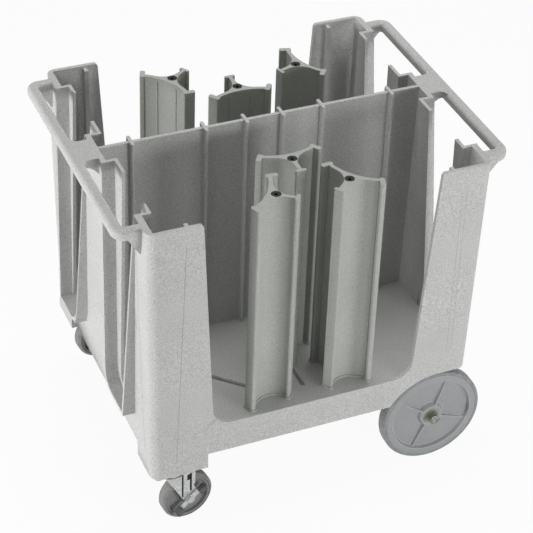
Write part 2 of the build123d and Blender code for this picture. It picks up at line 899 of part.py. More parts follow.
def caster_plate_bolts():
    """Four hexagon bolts for each caster plate."""
    with BuildPart() as bolts:
        for side_y in (1, -1):
            with BuildSketch(Plane.XY.offset(plate_bottom)):
                with Locations((caster_x, side_y * caster_y)):
                    with GridLocations(caster_bolt_spacing_x, caster_bolt_spacing_y, 2, 2):
                        RegularPolygon(bolt_head_radius, 6)
            extrude(amount=-bolt_head_height)
            with BuildSketch(Plane.XY.offset(plate_bottom)):
                with Locations((caster_x, side_y * caster_y)):
                    with GridLocations(caster_bolt_spacing_x, caster_bolt_spacing_y, 2, 2):
                        Circle(bolt_radius)
            extrude(amount=caster_plate_thickness + housing_floor)
    return bolts


def caster_kingpin(frame):
    """Swivel pin with a head above the plate and a riveted head under the fork."""
    with BuildPart() as pin:
        with BuildSketch(frame.level(crown_bottom - kingpin_head_height)):
            Circle(kingpin_radius)
        extrude(amount=housing_bottom + kingpin_head_height - crown_bottom + kingpin_head_height)
        with BuildSketch(frame.level(housing_bottom + swivel_gap)):
            Circle(kingpin_head_radius)
        extrude(amount=kingpin_head_height - swivel_gap)
        with BuildSketch(frame.level(crown_bottom)):
            Circle(kingpin_head_radius)
        extrude(amount=-kingpin_head_height)
    return pin


def caster_fork(frame):
    """Pressed fork: crown and two legs, upright in front and slanting behind."""
    crown_height = crown_bottom - caster_wheel_radius
    crown_front = caster_trail + fork_leg_half_width
    crown_length = crown_front + fork_leg_back
    crown_middle = (crown_front - fork_leg_back) / 2
    with BuildPart() as fork:
        with BuildSketch(frame.level(crown_top)):
            Circle(fork_crown_radius)
            with Locations((crown_middle, 0)):
                Rectangle(crown_length, 2 * fork_outer)
        extrude(amount=-fork_thickness)
        for side in (fork_inner, -fork_outer):
            with BuildSketch(frame.side(side)):
                with BuildLine():
                    Polyline(
                        (-fork_leg_half_width, 0),
                        (-caster_trail - fork_leg_back, crown_height),
                        (fork_leg_half_width, crown_height),
                        (fork_leg_half_width, 0),
                    )
                    ThreePointArc(
                        (fork_leg_half_width, 0), (0, -fork_leg_half_width), (-fork_leg_half_width, 0)
                    )
                make_face()
            extrude(amount=fork_thickness)
        with BuildSketch(frame.side(0)):
            Circle(caster_axle_radius)
        extrude(amount=far_outside, both=True, mode=Mode.SUBTRACT)
        with BuildSketch(frame.level(crown_top)):
            Circle(kingpin_radius)
        extrude(amount=-fork_thickness, mode=Mode.SUBTRACT)
    return fork


def caster_ring(frame, outline):
    """Solid of revolution about a caster's axle, mirrored about its middle."""
    points = [(-x, r) for x, r in outline] + [(x, r) for x, r in outline[::-1]]
    with BuildPart() as ring:
        with BuildSketch(frame.section()):
            Polygon(*points, align=None)
        revolve(axis=frame.axle())
    return ring.part


def caster_wheel(frame):
    half = caster_wheel_width / 2
    rim = caster_wheel_radius - caster_tyre_thickness
    outline = [
        (half + fork_side_gap - caster_hub_side_gap, caster_axle_radius + running_clearance),
        (half + fork_side_gap - caster_hub_side_gap, caster_hub_radius),
        (caster_disc_thickness / 2, caster_hub_radius),
        (caster_disc_thickness / 2, rim - caster_rim_thickness),
        (half - caster_rim_inset, rim - caster_rim_thickness),
        (half - caster_rim_inset, rim),
    ]
    with BuildPart() as wheel:
        add(caster_ring(frame, outline))
    return wheel


def caster_tyre(frame):
    half = caster_wheel_width / 2
    rim = caster_wheel_radius - caster_tyre_thickness
    outline = [
        (half - caster_rim_inset, rim),
        (half, rim + caster_tyre_flank),
        (half, caster_wheel_radius - caster_tyre_rounding),
        (half - caster_tyre_rounding, caster_wheel_radius),
    ]
    with BuildPart() as tyre:
        add(caster_ring(frame, outline))
    return tyre


def caster_axle(frame):
    """Axle bolt with a round head on each side of the fork."""
    with BuildPart() as axle:
        with BuildSketch(frame.side(-fork_outer - caster_axle_head_height)):
            Circle(caster_axle_radius)
        extrude(amount=2 * fork_outer + 2 * caster_axle_head_height + brake_gap + brake_lever_thickness)
        with BuildSketch(frame.side(-fork_outer - caster_axle_head_height)):
            Circle(caster_axle_head_radius)
        extrude(amount=caster_axle_head_height)
        with BuildSketch(frame.side(fork_outer + 2 * brake_gap + brake_lever_thickness)):
            Circle(caster_axle_head_radius)
        extrude(amount=caster_axle_head_height - brake_gap)
    return axle


def brake_lever(frame):
    """Rocking bar on the outer side of the fork, worked with the foot."""
    with BuildPart() as lever:
        with BuildSketch(frame.side(fork_outer + brake_gap)):
            SlotOverall(2 * brake_half_length, 2 * brake_lever_half_height, rotation=brake_tilt)
            Circle(brake_boss_radius)
            Circle(caster_axle_radius + running_clearance, mode=Mode.SUBTRACT)
        extrude(amount=brake_lever_thickness)
    return lever


def brake_pads(frame):
    """Rubber pads sleeved over the two ends of the brake bar."""
    middle = brake_half_length - brake_pad_length / 4
    with BuildPart() as pads:
        with BuildSketch(frame.side(fork_outer + brake_gap)):
            with PolarLocations(middle, 2, brake_tilt):
                RectangleRounded(brake_pad_length, brake_pad_height, brake_pad_rounding)
        extrude(amount=brake_pad_width)
        with BuildSketch(frame.side(fork_outer + brake_gap)):
            SlotOverall(2 * brake_half_length, 2 * brake_lever_half_height, rotation=brake_tilt)
        extrude(amount=brake_lever_thickness, mode=Mode.SUBTRACT)
    return pads


def tower_spot(name):
    """Where a tower's rod stands and the way its broad face looks."""
    side_x, side_y, kind, travel, looks = tower_places[name]
    outer, inner = slot_line(kind, side_x, side_y)
    length = math.hypot(inner[0] - outer[0], inner[1] - outer[1])
    share = travel / length
    x = outer[0] + (inner[0] - outer[0]) * share
    y = outer[1] + (inner[1] - outer[1]) * share
    return x, y, looks


def on_tower(name, height):
    x, y, looks = tower_spot(name)
    return Plane(origin=(x, y, height)).rotated((0, 0, looks))


def tower_section(margin):
    """Section of a tower, wider all round by a margin: two long arms on one curve
    and a short arm behind, each with a head across its end, and wide hollows where
    the arms meet. The broad face, hollow between the long arms, looks along +X."""
    arm_back = tower_arm_radius + tower_arm_thickness + margin
    short_start = tower_arm_centre - tower_arm_radius - tower_arm_thickness / 2
    with BuildSketch() as section:
        with Locations((tower_arm_centre, 0)):
            Circle(arm_back)
            Circle(tower_arm_radius - margin, mode=Mode.SUBTRACT)
        Rectangle(2 * tower_arm_half_span, 2 * tower_arm_half_span, mode=Mode.INTERSECT)
        with Locations(((short_start - tower_short_arm) / 2, 0)):
            Rectangle(short_start + tower_short_arm, tower_short_arm_width + 2 * margin)
        meeting = (tower_arm_centre - arm_back, 0, 0)
        fillet(section.vertices().sort_by_distance(meeting)[:2], tower_hollow_radius - margin)
        head_x, head_y = tower_head_place
        for side_y in (1, -1):
            with Locations((head_x, side_y * head_y)):
                RectangleRounded(
                    tower_head_length + 2 * margin,
                    tower_head_width + 2 * margin,
                    tower_head_rounding + margin,
                    rotation=-side_y * tower_head_turn,
                )
        with Locations((tower_short_head_width / 2 - tower_short_arm, 0)):
            RectangleRounded(
                tower_short_head_width + 2 * margin,
                tower_short_head_length + 2 * margin,
                tower_short_head_rounding + margin,
            )
    return section.sketch


def tower_ribs():
    """Section of the two thin ribs on a tower's broad face."""
    turn = math.asin(tower_rib_place / tower_arm_radius)
    face_x = tower_arm_centre - tower_arm_radius * math.cos(turn)
    with BuildSketch() as ribs:
        for side_y in (1, -1):
            with Locations((face_x, side_y * tower_rib_place)):
                Rectangle(2 * tower_rib_height, tower_rib_width, rotation=-side_y * math.degrees(turn))
    return ribs.sketch


def tower(name):
    """Stack guide with a wider foot and a sunk socket for its rod."""
    foot_bottom = deck_top + tower_foot_gap
    foot_section = tower_section(tower_foot_margin)
    shaft_section = tower_section(0)
    rib_section = tower_ribs()
    with BuildPart() as guide:
        with BuildSketch(on_tower(name, foot_bottom)):
            add(foot_section)
        extrude(amount=tower_foot_thickness)
        with BuildSketch(on_tower(name, foot_bottom)):
            add(shaft_section)
        extrude(amount=tower_top - foot_bottom)
        with BuildSketch(on_tower(name, foot_bottom)):
            add(rib_section)
        extrude(amount=tower_top - tower_rib_drop - foot_bottom)
        with BuildSketch(on_tower(name, tower_top)):
            Circle(tower_socket_radius)
        extrude(amount=-tower_socket_depth, mode=Mode.SUBTRACT)
        with BuildSketch(on_tower(name, tower_top)):
            Circle(tower_rod_radius + running_clearance)
        extrude(amount=foot_bottom - tower_top, mode=Mode.SUBTRACT)
    return guide


def tower_rod(name):
    """Long bolt down the middle of a tower, with a socket in its hexagon head."""
    head_bottom = tower_top - tower_socket_depth + clamp_gap
    plate_top = deck_bottom - clamp_gap
    rod_bottom = plate_top - clamp_plate_thickness - clamp_nut_height
    with BuildPart() as rod:
        with BuildSketch(on_tower(name, rod_bottom)):
            Circle(tower_rod_radius)
        extrude(amount=head_bottom - rod_bottom)
        with BuildSketch(on_tower(name, head_bottom)):
            RegularPolygon(tower_rod_head_radius, 6)
        extrude(amount=tower_rod_head_height)
        with BuildSketch(on_tower(name, head_bottom + tower_rod_head_height)):
            RegularPolygon(tower_rod_socket_radius, 6)
        extrude(amount=-tower_rod_socket_depth, mode=Mode.SUBTRACT)
    return rod


def clamp_plate(name):
    """Plate with a welded nut, which the rod pulls against the deck's underside."""
    plate_top = deck_bottom - clamp_gap
    with BuildPart() as plate:
        with BuildSketch(on_tower(name, plate_top)):
            RectangleRounded(clamp_plate_length, clamp_plate_width, tower_rod_radius)
        extrude(amount=-clamp_plate_thickness)
        with BuildSketch(on_tower(name, plate_top - clamp_plate_thickness)):
            RegularPolygon(clamp_nut_radius, 6)
        extrude(amount=-clamp_nut_height)
        with BuildSketch(on_tower(name, plate_top)):
            Circle(tower_rod_radius)
        extrude(amount=-clamp_plate_thickness - clamp_nut_height, mode=Mode.SUBTRACT)
    return plate


os.makedirs("parts", exist_ok=True)

sides_x = {"left": -1, "right": 1}
sides_y = {"near": -1, "far": 1}

save(floor_deck(), "deck")
save(centre_divider(), "divider")
save(divider_ribs(), "divider_ribs")
for end_name, side_x in sides_x.items():
    save(end_column(side_x), f"end_column_{end_name}")
    save(end_rail(side_x), f"end_rail_{end_name}")
    save(push_handle(side_x), f"handle_{end_name}")
    for side_name, side_y in sides_y.items():
        save(corner_post(side_x, side_y), f"corner_post_{side_name}_{end_name}")
for side_name, side_y in sides_y.items():
    save(side_rail(side_y), f"side_rail_{side_name}")
    save(caster_housing(side_y), f"caster_housing_{side_name}")
    save(rear_wheel(side_y), f"rear_wheel_{side_name}")
    save(rear_tyre(side_y), f"rear_tyre_{side_name}")

save(rear_axle(), "rear_axle")
save(axle_brackets(), "axle_brackets")
save(bracket_bolts(), "axle_bracket_bolts")
save(wheel_washers(), "wheel_washers")
save(cap_nuts(), "cap_nuts")

save(caster_top_plates(), "caster_top_plates")
save(caster_plate_bolts(), "caster_plate_bolts")
for side_name in sides_y:
    frame = CasterFrame(side_name)
    save(caster_kingpin(frame), f"caster_kingpin_{side_name}")
    save(caster_fork(frame), f"caster_fork_{side_name}")
    save(caster_wheel(frame), f"caster_wheel_{side_name}")
    save(caster_tyre(frame), f"caster_tyre_{side_name}")
    save(caster_axle(frame), f"caster_axle_{side_name}")
    save(brake_lever(frame), f"brake_lever_{side_name}")
    save(brake_pads(frame), f"brake_pads_{side_name}")

for name in tower_places:
    save(tower(name), f"tower_{name}")
    save(tower_rod(name), f"tower_rod_{name}")
    save(clamp_plate(name), f"clamp_plate_{name}")
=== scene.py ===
import json
import math

import bmesh
import bpy
from mathutils import Matrix, Vector

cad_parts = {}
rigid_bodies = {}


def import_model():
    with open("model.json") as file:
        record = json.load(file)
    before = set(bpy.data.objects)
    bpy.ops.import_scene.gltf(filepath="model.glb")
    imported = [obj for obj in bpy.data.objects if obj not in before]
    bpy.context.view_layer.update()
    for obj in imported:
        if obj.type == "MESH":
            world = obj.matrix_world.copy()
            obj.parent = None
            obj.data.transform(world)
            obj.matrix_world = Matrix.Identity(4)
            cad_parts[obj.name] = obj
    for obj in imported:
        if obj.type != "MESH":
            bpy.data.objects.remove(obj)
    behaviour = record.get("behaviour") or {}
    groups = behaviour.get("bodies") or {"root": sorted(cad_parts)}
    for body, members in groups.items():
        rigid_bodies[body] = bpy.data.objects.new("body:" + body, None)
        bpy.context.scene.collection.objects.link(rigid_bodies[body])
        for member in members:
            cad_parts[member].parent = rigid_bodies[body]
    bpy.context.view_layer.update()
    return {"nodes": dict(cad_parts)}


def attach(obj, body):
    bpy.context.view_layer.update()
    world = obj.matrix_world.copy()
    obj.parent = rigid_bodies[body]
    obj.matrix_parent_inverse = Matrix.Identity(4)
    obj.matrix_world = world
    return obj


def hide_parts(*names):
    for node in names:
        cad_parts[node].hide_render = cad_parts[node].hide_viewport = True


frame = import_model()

# Looks of the dish caddy: the body and the six towers as seamless mouldings with
# soft edges, the wheels and metal parts with rounded edges, and their materials.
# Metres. +X runs from the caster end to the big-wheel end, -Y is the near side.

nodes = frame["nodes"]

# Names of what moves together
TOWERS = ("far_left", "far_middle", "far_right", "near_left", "near_middle", "near_right")
SIDES = ("near", "far")
BODY_WALLS = ("corner_post", "end_column", "end_rail", "side_rail", "handle_", "caster_housing")
BODY_INSIDE = ("deck", "divider", "divider_ribs")
BODY_NODES = sorted(
    name for name in nodes if name.startswith(BODY_WALLS) or name in BODY_INSIDE
)

# Widths of the rounded edges
BODY_EDGE = 0.0028
TOWER_EDGE = 0.0014
WHEEL_EDGE = 0.0015
TREAD_EDGE = 0.002
CASTER_WHEEL_EDGE = 0.001
FORK_EDGE = 0.0009
AXLE_EDGE = 0.001
PLATE_EDGE = 0.0008
BOLT_EDGE = 0.0006
PAD_EDGE = 0.0014
HUB_EDGE = 0.0004
FIRM_SEGMENTS = 2
SOFT_SEGMENTS = 3

# Corners nearer than this become one: in a copy of a node, and in a finished moulding
WELD_DISTANCE = 1e-6
SLIVER = 0.00004

# Edges that turn more than the first angle are rounded, more than the second shade hard
CREASE_ANGLE = math.radians(32)
SHARP_ANGLE = math.radians(40)

# Texture of the surfaces: how fine it is, and how deep
FLECK_SCALE = 400.0
MOTTLE_SCALE = 9.0
PLASTIC_GRAIN_SCALE = 650.0
PLASTIC_GRAIN_DEPTH = 0.0004
POLISH_SCALE = 160.0
DUST_SCALE = 70.0
RUBBER_GRAIN_SCALE = 900.0
RUBBER_GRAIN_DEPTH = 0.0003
GRAIN_STRENGTH = 0.5
PLASTIC_SPECULAR = 0.35
RUBBER_SPECULAR = 0.3

# Camera: place, axes (right, down, ahead), and the photograph's frame in pixels
CAMERA_PLACE = (-1.42939, -3.28350, 3.08145)
CAMERA_RIGHT = (0.918699, -0.39315099, 0.03774198)
CAMERA_DOWN = (-0.19667113, -0.53824577, -0.81951935)
CAMERA_AHEAD = (0.3425093, 0.74546884, -0.5718073)
FRAME_PIXELS = 533
FOCAL_PIXELS = 1876.01
CENTRE_PIXELS = (290.84, 210.50)
SENSOR_WIDTH = 36.0

# Lamps: place, width, height and power. All point at the middle of the body.
LAMP_TARGET = (0.0, 0.0, 0.4)
LAMPS = {
    "key": ((-3.5, -0.25, 0.5), 2.4, 0.8, 90.0),
    "fill": ((1.9, -3.6, 0.8), 2.2, 1.2, 82.0),
    "top": ((0.2, 0.6, 3.6), 2.2, 2.2, 62.0),
}

# World and floor. The floor has a painted shadow: a darker patch, without the floor's white, that the
# deck's slots look down on.
WORLD_STRENGTH = 0.17
WORLD_TINT = (0.98, 1.0, 0.93, 1.0)
FLOOR_SIZE = 14.0
FLOOR_WHITENESS = 0.94
SLOT_SHADE_X = (-0.32, 0.38)
SLOT_SHADE_Y = (-0.10, 0.40)
SLOT_SHADE_FADE = 0.10
FLOOR_COLOUR = 0.86
# Colour of the floor inside the painted shadow
SHADOW_PATCH_COLOUR = 0.30


class Material:
    """A node material under construction: a principled shader and short names
    for the nodes that colour it."""

    def __init__(self, name, roughness, metallic=0.0, specular=0.5):
        self.material = bpy.data.materials.new(name)
        self.material.use_nodes = True
        self.tree = self.material.node_tree
        self.shader = self.tree.nodes["Principled BSDF"]
        self.shader.inputs["Roughness"].default_value = roughness
        self.shader.inputs["Metallic"].default_value = metallic
        self.shader.inputs["Specular IOR Level"].default_value = specular
        self.place = self.node("ShaderNodeTexCoord").outputs["Object"]

    def node(self, kind, **settings):
        made = self.tree.nodes.new(kind)
        for key, value in settings.items():
            setattr(made, key, value)
        return made

    def link(self, source, target):
        self.tree.links.new(source, target)

    def noise(self, scale, detail=2.0, roughness=0.5):
        made = self.node("ShaderNodeTexNoise")
        made.inputs["Scale"].default_value = scale
        made.inputs["Detail"].default_value = detail
        made.inputs["Roughness"].default_value = roughness
        self.link(self.place, made.inputs["Vector"])
        return made.outputs["Fac"]

    def ramp(self, value, stops):
        """Colours at steps of a value. Each stop is a place and a colour."""
        made = self.node("ShaderNodeValToRGB")
        marks = made.color_ramp.elements
        while len(marks) < len(stops):
            marks.new(0.5)
        for mark, (place, colour) in zip(marks, stops):
            mark.position = place
            mark.color = (*colour, 1.0)
        self.link(value, made.inputs["Fac"])
        return made.outputs["Color"]

    def multiply(self, first, second):
        made = self.node("ShaderNodeMix", data_type="RGBA", blend_type="MULTIPLY")
        made.inputs["Factor"].default_value = 1.0
        self.link(first, made.inputs["A"])
        self.link(second, made.inputs["B"])
        return made.outputs["Result"]

    def colour(self, source):
        self.link(source, self.shader.inputs["Base Color"])

    def rough(self, value, low, high):
        made = self.node("ShaderNodeMapRange")
        made.inputs["To Min"].default_value = low
        made.inputs["To Max"].default_value = high
        self.link(value, made.inputs["Value"])
        self.link(made.outputs["Result"], self.shader.inputs["Roughness"])

    def bump(self, value, distance):
        made = self.node("ShaderNodeBump")
        made.inputs["Distance"].default_value = distance
        made.inputs["Strength"].default_value = GRAIN_STRENGTH
        self.link(value, made.inputs["Height"])
        self.link(made.outputs["Normal"], self.shader.inputs["Normal"])


def shade(colour, share):
    return tuple(channel * share for channel in colour)


def speckled_plastic(name, colour, contrast, roughness):
    """Moulded plastic with fine dark and light flecks and a faint large mottle."""
    made = Material(name, roughness, specular=PLASTIC_SPECULAR)
    flecks = made.noise(FLECK_SCALE, 3.0, 0.65)
    grain = made.ramp(
        flecks,
        [
            (0.30, shade(colour, 1.0 - 2.2 * contrast)),
            (0.44, shade(colour, 1.0 - 0.5 * contrast)),
            (0.58, shade(colour, 1.0 + 0.4 * contrast)),
            (0.70, shade(colour, 1.0 + 1.5 * contrast)),
        ],
    )
    patches = made.noise(MOTTLE_SCALE, 3.0)
    mottle = made.ramp(patches, [(0.3, (0.94, 0.94, 0.94)), (0.7, (1.0, 1.0, 1.0))])
    made.colour(made.multiply(grain, mottle))
    made.rough(flecks, roughness - 0.06, roughness + 0.08)
    made.bump(made.noise(PLASTIC_GRAIN_SCALE, 2.0), PLASTIC_GRAIN_DEPTH)
    return made.material


def plain_metal(name, colour, roughness, streak):
    """Metal with an uneven polish. On the chrome and the hub nuts the strong mottle is also a painted
    reflection.
    """
    made = Material(name, roughness, metallic=1.0)
    polish = made.noise(POLISH_SCALE, 3.0, 0.6)
    made.colour(made.ramp(polish, [(0.3, shade(colour, 1.0 - streak)), (0.7, colour)]))
    made.rough(polish, roughness - 0.07, roughness + 0.12)
    return made.material


def worn_rubber(name, colour, roughness):
    """Rubber or soft tread with a little dust on it."""
    made = Material(name, roughness, specular=RUBBER_SPECULAR)
    dust = made.noise(DUST_SCALE, 4.0, 0.6)
    made.colour(made.ramp(dust, [(0.3, shade(colour, 0.8)), (0.72, shade(colour, 1.25))]))
    made.rough(dust, roughness - 0.1, roughness + 0.1)
    made.bump(made.noise(RUBBER_GRAIN_SCALE, 2.0), RUBBER_GRAIN_DEPTH)
    return made.material


body_plastic = speckled_plastic("body_plastic", (0.55, 0.553, 0.545), contrast=0.20, roughness=0.58)
# Paler plastic for the body's bevelled edges: a painted highlight along them
body_edge_highlight = speckled_plastic("body_edge_highlight", (0.70, 0.70, 0.67), contrast=0.05, roughness=0.45)
# Dark grey for thin lines of painted shade along small steps in the body's face
painted_crease_shade = speckled_plastic("painted_crease_shade", (0.33, 0.33, 0.32), contrast=0.05, roughness=0.6)
tower_plastic = speckled_plastic("tower_plastic", (0.44, 0.455, 0.43), contrast=0.14, roughness=0.5)
# Paler plastic for the towers' bevelled edges: a painted highlight along them
tower_edge_highlight = speckled_plastic("tower_edge_highlight", (0.68, 0.69, 0.64), contrast=0.05, roughness=0.4)
wheel_plastic = speckled_plastic("wheel_plastic", (0.34, 0.35, 0.36), contrast=0.06, roughness=0.42)
# Paler plastic for the big wheels' bevelled edges: a painted highlight along them
wheel_edge_highlight = speckled_plastic("wheel_edge_highlight", (0.50, 0.51, 0.52), contrast=0.05, roughness=0.4)
caster_plastic = speckled_plastic("caster_plastic", (0.26, 0.262, 0.265), contrast=0.08, roughness=0.4)
rear_tread = worn_rubber("rear_tread", (0.27, 0.28, 0.285), roughness=0.55)
caster_tread = worn_rubber("caster_tread", (0.22, 0.22, 0.215), roughness=0.55)
pad_rubber = worn_rubber("pad_rubber", (0.10, 0.10, 0.10), roughness=0.5)
# Paler rubber for the brake pads' bevelled edges: a painted highlight along them
pad_edge_highlight = worn_rubber("pad_edge_highlight", (0.34, 0.34, 0.33), roughness=0.45)
zinc = plain_metal("zinc", (0.60, 0.61, 0.61), roughness=0.34, streak=0.35)
# Chrome with a strong mottle: uneven polish, and a painted mottled reflection
chrome = plain_metal("chrome", (0.70, 0.70, 0.71), roughness=0.2, streak=0.45)
# Tan metal for the hub washers, darkened in part as painted shade of the gap round the nuts
tan_zinc = plain_metal("tan_zinc", (0.34, 0.30, 0.24), roughness=0.4, streak=0.4)
# Chrome made dark and strongly mottled for the hub nuts: a painted reflection of dark surroundings
chrome_painted_dark = plain_metal("chrome_painted_dark", (0.42, 0.42, 0.40), roughness=0.22, streak=0.75)
black_steel = plain_metal("black_steel", (0.03, 0.03, 0.032), roughness=0.42, streak=0.3)


def new_piece(work, name, *materials):
    mesh = bpy.data.meshes.new(name)
    work.to_mesh(mesh)
    work.free()
    for material in materials:
        mesh.materials.append(material)
    piece = bpy.data.objects.new(name, mesh)
    bpy.context.scene.collection.objects.link(piece)
    return piece


def apply_modifiers(piece):
    depsgraph = bpy.context.evaluated_depsgraph_get()
    mesh = bpy.data.meshes.new_from_object(piece.evaluated_get(depsgraph))
    piece.modifiers.clear()
    piece.data = mesh
    return mesh


def stand_in(piece, names, body):
    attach(piece, body)
    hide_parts(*names)


def loose_copy(names):
    """One mesh of CAD nodes with shared corners."""
    work = bmesh.new()
    for name in names:
        work.from_mesh(nodes[name].data)
    bmesh.ops.remove_doubles(work, verts=work.verts, dist=WELD_DISTANCE)
    return work


def joined(name, names, *materials):
    """One seamless object out of CAD nodes that touch."""
    piece = new_piece(loose_copy(names[:1]), name, *materials)
    others = bpy.data.collections.new(name)
    for node in names[1:]:
        other = new_piece(loose_copy([node]), node + "_copy", *materials)
        bpy.context.scene.collection.objects.unlink(other)
        others.objects.link(other)
    union = piece.modifiers.new("union", "BOOLEAN")
    union.operation = "UNION"
    union.solver = "MANIFOLD"
    union.operand_type = "COLLECTION"
    union.collection = others
    apply_modifiers(piece)
    for other in list(others.objects):
        bpy.data.objects.remove(other)
    bpy.data.collections.remove(others)
    return piece


def round_edges(piece, width, segments):
    """Bevels the edges in the piece's second material, which may be a painted highlight, and keeps
    flat faces flat.
    """
    edge = piece.modifiers.new("edge", "BEVEL")
    edge.width = width
    edge.segments = segments
    edge.material = 1
    edge.limit_method = "ANGLE"
    edge.angle_limit = CREASE_ANGLE
    edge.use_clamp_overlap = True
    mesh = apply_modifiers(piece)
    mesh.shade_smooth()
    mesh.set_sharp_from_angle(angle=SHARP_ANGLE)
    level = piece.modifiers.new("level", "WEIGHTED_NORMAL")
    level.keep_sharp = True
    apply_modifiers(piece)


def moulding(name, names, body, face, highlight, width):
    """Seamless moulding made of CAD nodes, with its edges and inner corners rounded
    and its edges a little paler, a painted highlight along them."""
    if len(names) > 1:
        piece = joined(name, names, face, highlight)
    else:
        piece = new_piece(loose_copy(names), name, face, highlight)
    work = bmesh.new()
    work.from_mesh(piece.data)
    bmesh.ops.remove_doubles(work, verts=work.verts, dist=SLIVER)
    work.to_mesh(piece.data)
    work.free()
    round_edges(piece, width, SOFT_SEGMENTS)
    stand_in(piece, names, body)
    return piece


def softened(name, names, body, material, width, segments=FIRM_SEGMENTS, highlight=None):
    """Copy of CAD nodes with bevelled edges, which may have a colour of their own: a paler one paints
    a highlight along them.
    """
    piece = new_piece(loose_copy(names), name, material, highlight or material)
    round_edges(piece, width, segments)
    stand_in(piece, names, body)


body_moulding = moulding(
    "body_moulding", BODY_NODES, "root", body_plastic, body_edge_highlight, BODY_EDGE
)
for tower in TOWERS:
    moulding(
        f"tower_moulding_{tower}",
        [f"tower_{tower}"],
        f"tower_{tower}",
        tower_plastic,
        tower_edge_highlight,
        TOWER_EDGE,
    )
    carriage = f"carriage_{tower}"
    softened(
        f"tower_bolt_{tower}", [f"tower_rod_{tower}"], carriage, black_steel, BOLT_EDGE
    )
    softened(f"tower_clamp_{tower}", [f"clamp_plate_{tower}"], carriage, zinc, PLATE_EDGE)

for side in SIDES:
    rear_wheel = f"rear_wheel_{side}"
    softened(
        f"big_wheel_{side}",
        [f"rear_wheel_{side}"],
        rear_wheel,
        wheel_plastic,
        WHEEL_EDGE,
        highlight=wheel_edge_highlight,
    )
    softened(
        f"big_tread_{side}",
        [f"rear_tyre_{side}"],
        rear_wheel,
        rear_tread,
        TREAD_EDGE,
        SOFT_SEGMENTS,
    )
    swivel = f"caster_swivel_{side}"
    softened(f"fork_{side}", [f"caster_fork_{side}"], swivel, zinc, FORK_EDGE)
    softened(f"kingpin_{side}", [f"caster_kingpin_{side}"], swivel, zinc, BOLT_EDGE)
    softened(f"wheel_bolt_{side}", [f"caster_axle_{side}"], swivel, zinc, PLATE_EDGE)
    caster_wheel = f"caster_wheel_{side}"
    softened(
        f"small_wheel_{side}",
        [f"caster_wheel_{side}"],
        caster_wheel,
        caster_plastic,
        CASTER_WHEEL_EDGE,
    )
    softened(
        f"small_tread_{side}",
        [f"caster_tyre_{side}"],
        caster_wheel,
        caster_tread,
        TREAD_EDGE,
        SOFT_SEGMENTS,
    )
    brake = f"brake_{side}"
    softened(f"brake_bar_{side}", [f"brake_lever_{side}"], brake, zinc, PLATE_EDGE)
    softened(
        f"brake_rubbers_{side}",
        [f"brake_pads_{side}"],
        brake,
        pad_rubber,
        PAD_EDGE,
        SOFT_SEGMENTS,
        pad_edge_highlight,
    )

softened("big_axle", ["rear_axle"], "root", zinc, AXLE_EDGE)
softened("axle_holders", ["axle_brackets"], "root", zinc, AXLE_EDGE)
softened("axle_holder_bolts", ["axle_bracket_bolts"], "root", zinc, BOLT_EDGE)
softened("hub_washers", ["wheel_washers"], "root", tan_zinc, HUB_EDGE)
softened("hub_nuts", ["cap_nuts"], "root", chrome_painted_dark, HUB_EDGE)
softened("caster_plates", ["caster_top_plates"], "root", zinc, PLATE_EDGE)
softened("caster_bolts", ["caster_plate_bolts"], "root", zinc, BOLT_EDGE)


# Thin lines of painted shade along small steps in the body's outer face: the face each
# lies on, the place along that face and the height of its upper end, the same for its
# lower end, and its width
SHADE_LINE_LIFT = 0.00015
SHADE_LINE_STEP = 0.02
SHADE_LINE_REACH = 1.0
NEAR_FACE = Vector((0.0, -1.0, 0.0))
LEFT_FACE = Vector((-1.0, 0.0, 0.0))
CREASE_SHADE_LINES = {
    "near_left_line": (NEAR_FACE, -0.315, 0.794, -0.333, 0.200, 0.0012),
    "near_right_line_in": (NEAR_FACE, 0.329, 0.785, 0.334, 0.330, 0.0007),
    "near_right_line_out": (NEAR_FACE, 0.340, 0.785, 0.345, 0.330, 0.0007),
    "left_near_line": (LEFT_FACE, -0.277, 0.760, -0.297, 0.215, 0.0012),
}


def band(work, first, second):
    """Faces between two rings of corners."""
    for index in range(len(first)):
        following = (index + 1) % len(first)
        work.faces.new((first[index], first[following], second[following], second[index]))


def crease_shade_line(name, face, top, top_height, foot, foot_height, width):
    """Thin dark bar laid along the body's outer face, where the photograph has a line: painted shade
    of a small step in the face.
    """
    edges = ((-1.0, -SHADE_LINE_LIFT), (1.0, -SHADE_LINE_LIFT), (1.0, SHADE_LINE_LIFT), (-1.0, SHADE_LINE_LIFT))
    along = Vector((-face.y, face.x, 0.0))
    steps = round((top_height - foot_height) / SHADE_LINE_STEP)
    work = bmesh.new()
    previous = None
    for step in range(steps + 1):
        share = step / steps
        height = top_height + (foot_height - top_height) * share
        place = top + (foot - top) * share
        if face is LEFT_FACE:
            start = Vector((-SHADE_LINE_REACH, place, height))
        else:
            start = Vector((place, -SHADE_LINE_REACH, height))
        hit, spot, normal, _ = body_moulding.ray_cast(start, -face)
        if not hit:
            raise ValueError(f"{name} misses the body at {start}")
        ring = [
            work.verts.new(spot + normal * lift + along * (edge * width / 2))
            for edge, lift in edges
        ]
        if previous:
            band(work, previous, ring)
        else:
            work.faces.new(ring)
        previous = ring
    work.faces.new(previous[::-1])
    bmesh.ops.recalc_face_normals(work, faces=work.faces)
    piece = new_piece(work, name, painted_crease_shade)
    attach(piece, "root")


for name, values in CREASE_SHADE_LINES.items():
    crease_shade_line(name, *values)


# Casters as in the CAD: kingpin, trail, heading, and half the fork's width
CASTER_X = -0.334
CASTER_Y = 0.314
CASTER_TRAIL = 0.036
CASTER_HEADING = math.radians(7.0)
CASTER_RADIUS = 0.0635
FORK_FACE = 0.021
PLATE_DEPTH = 0.00030
SHADE_SHEET_DEPTH = 0.00036

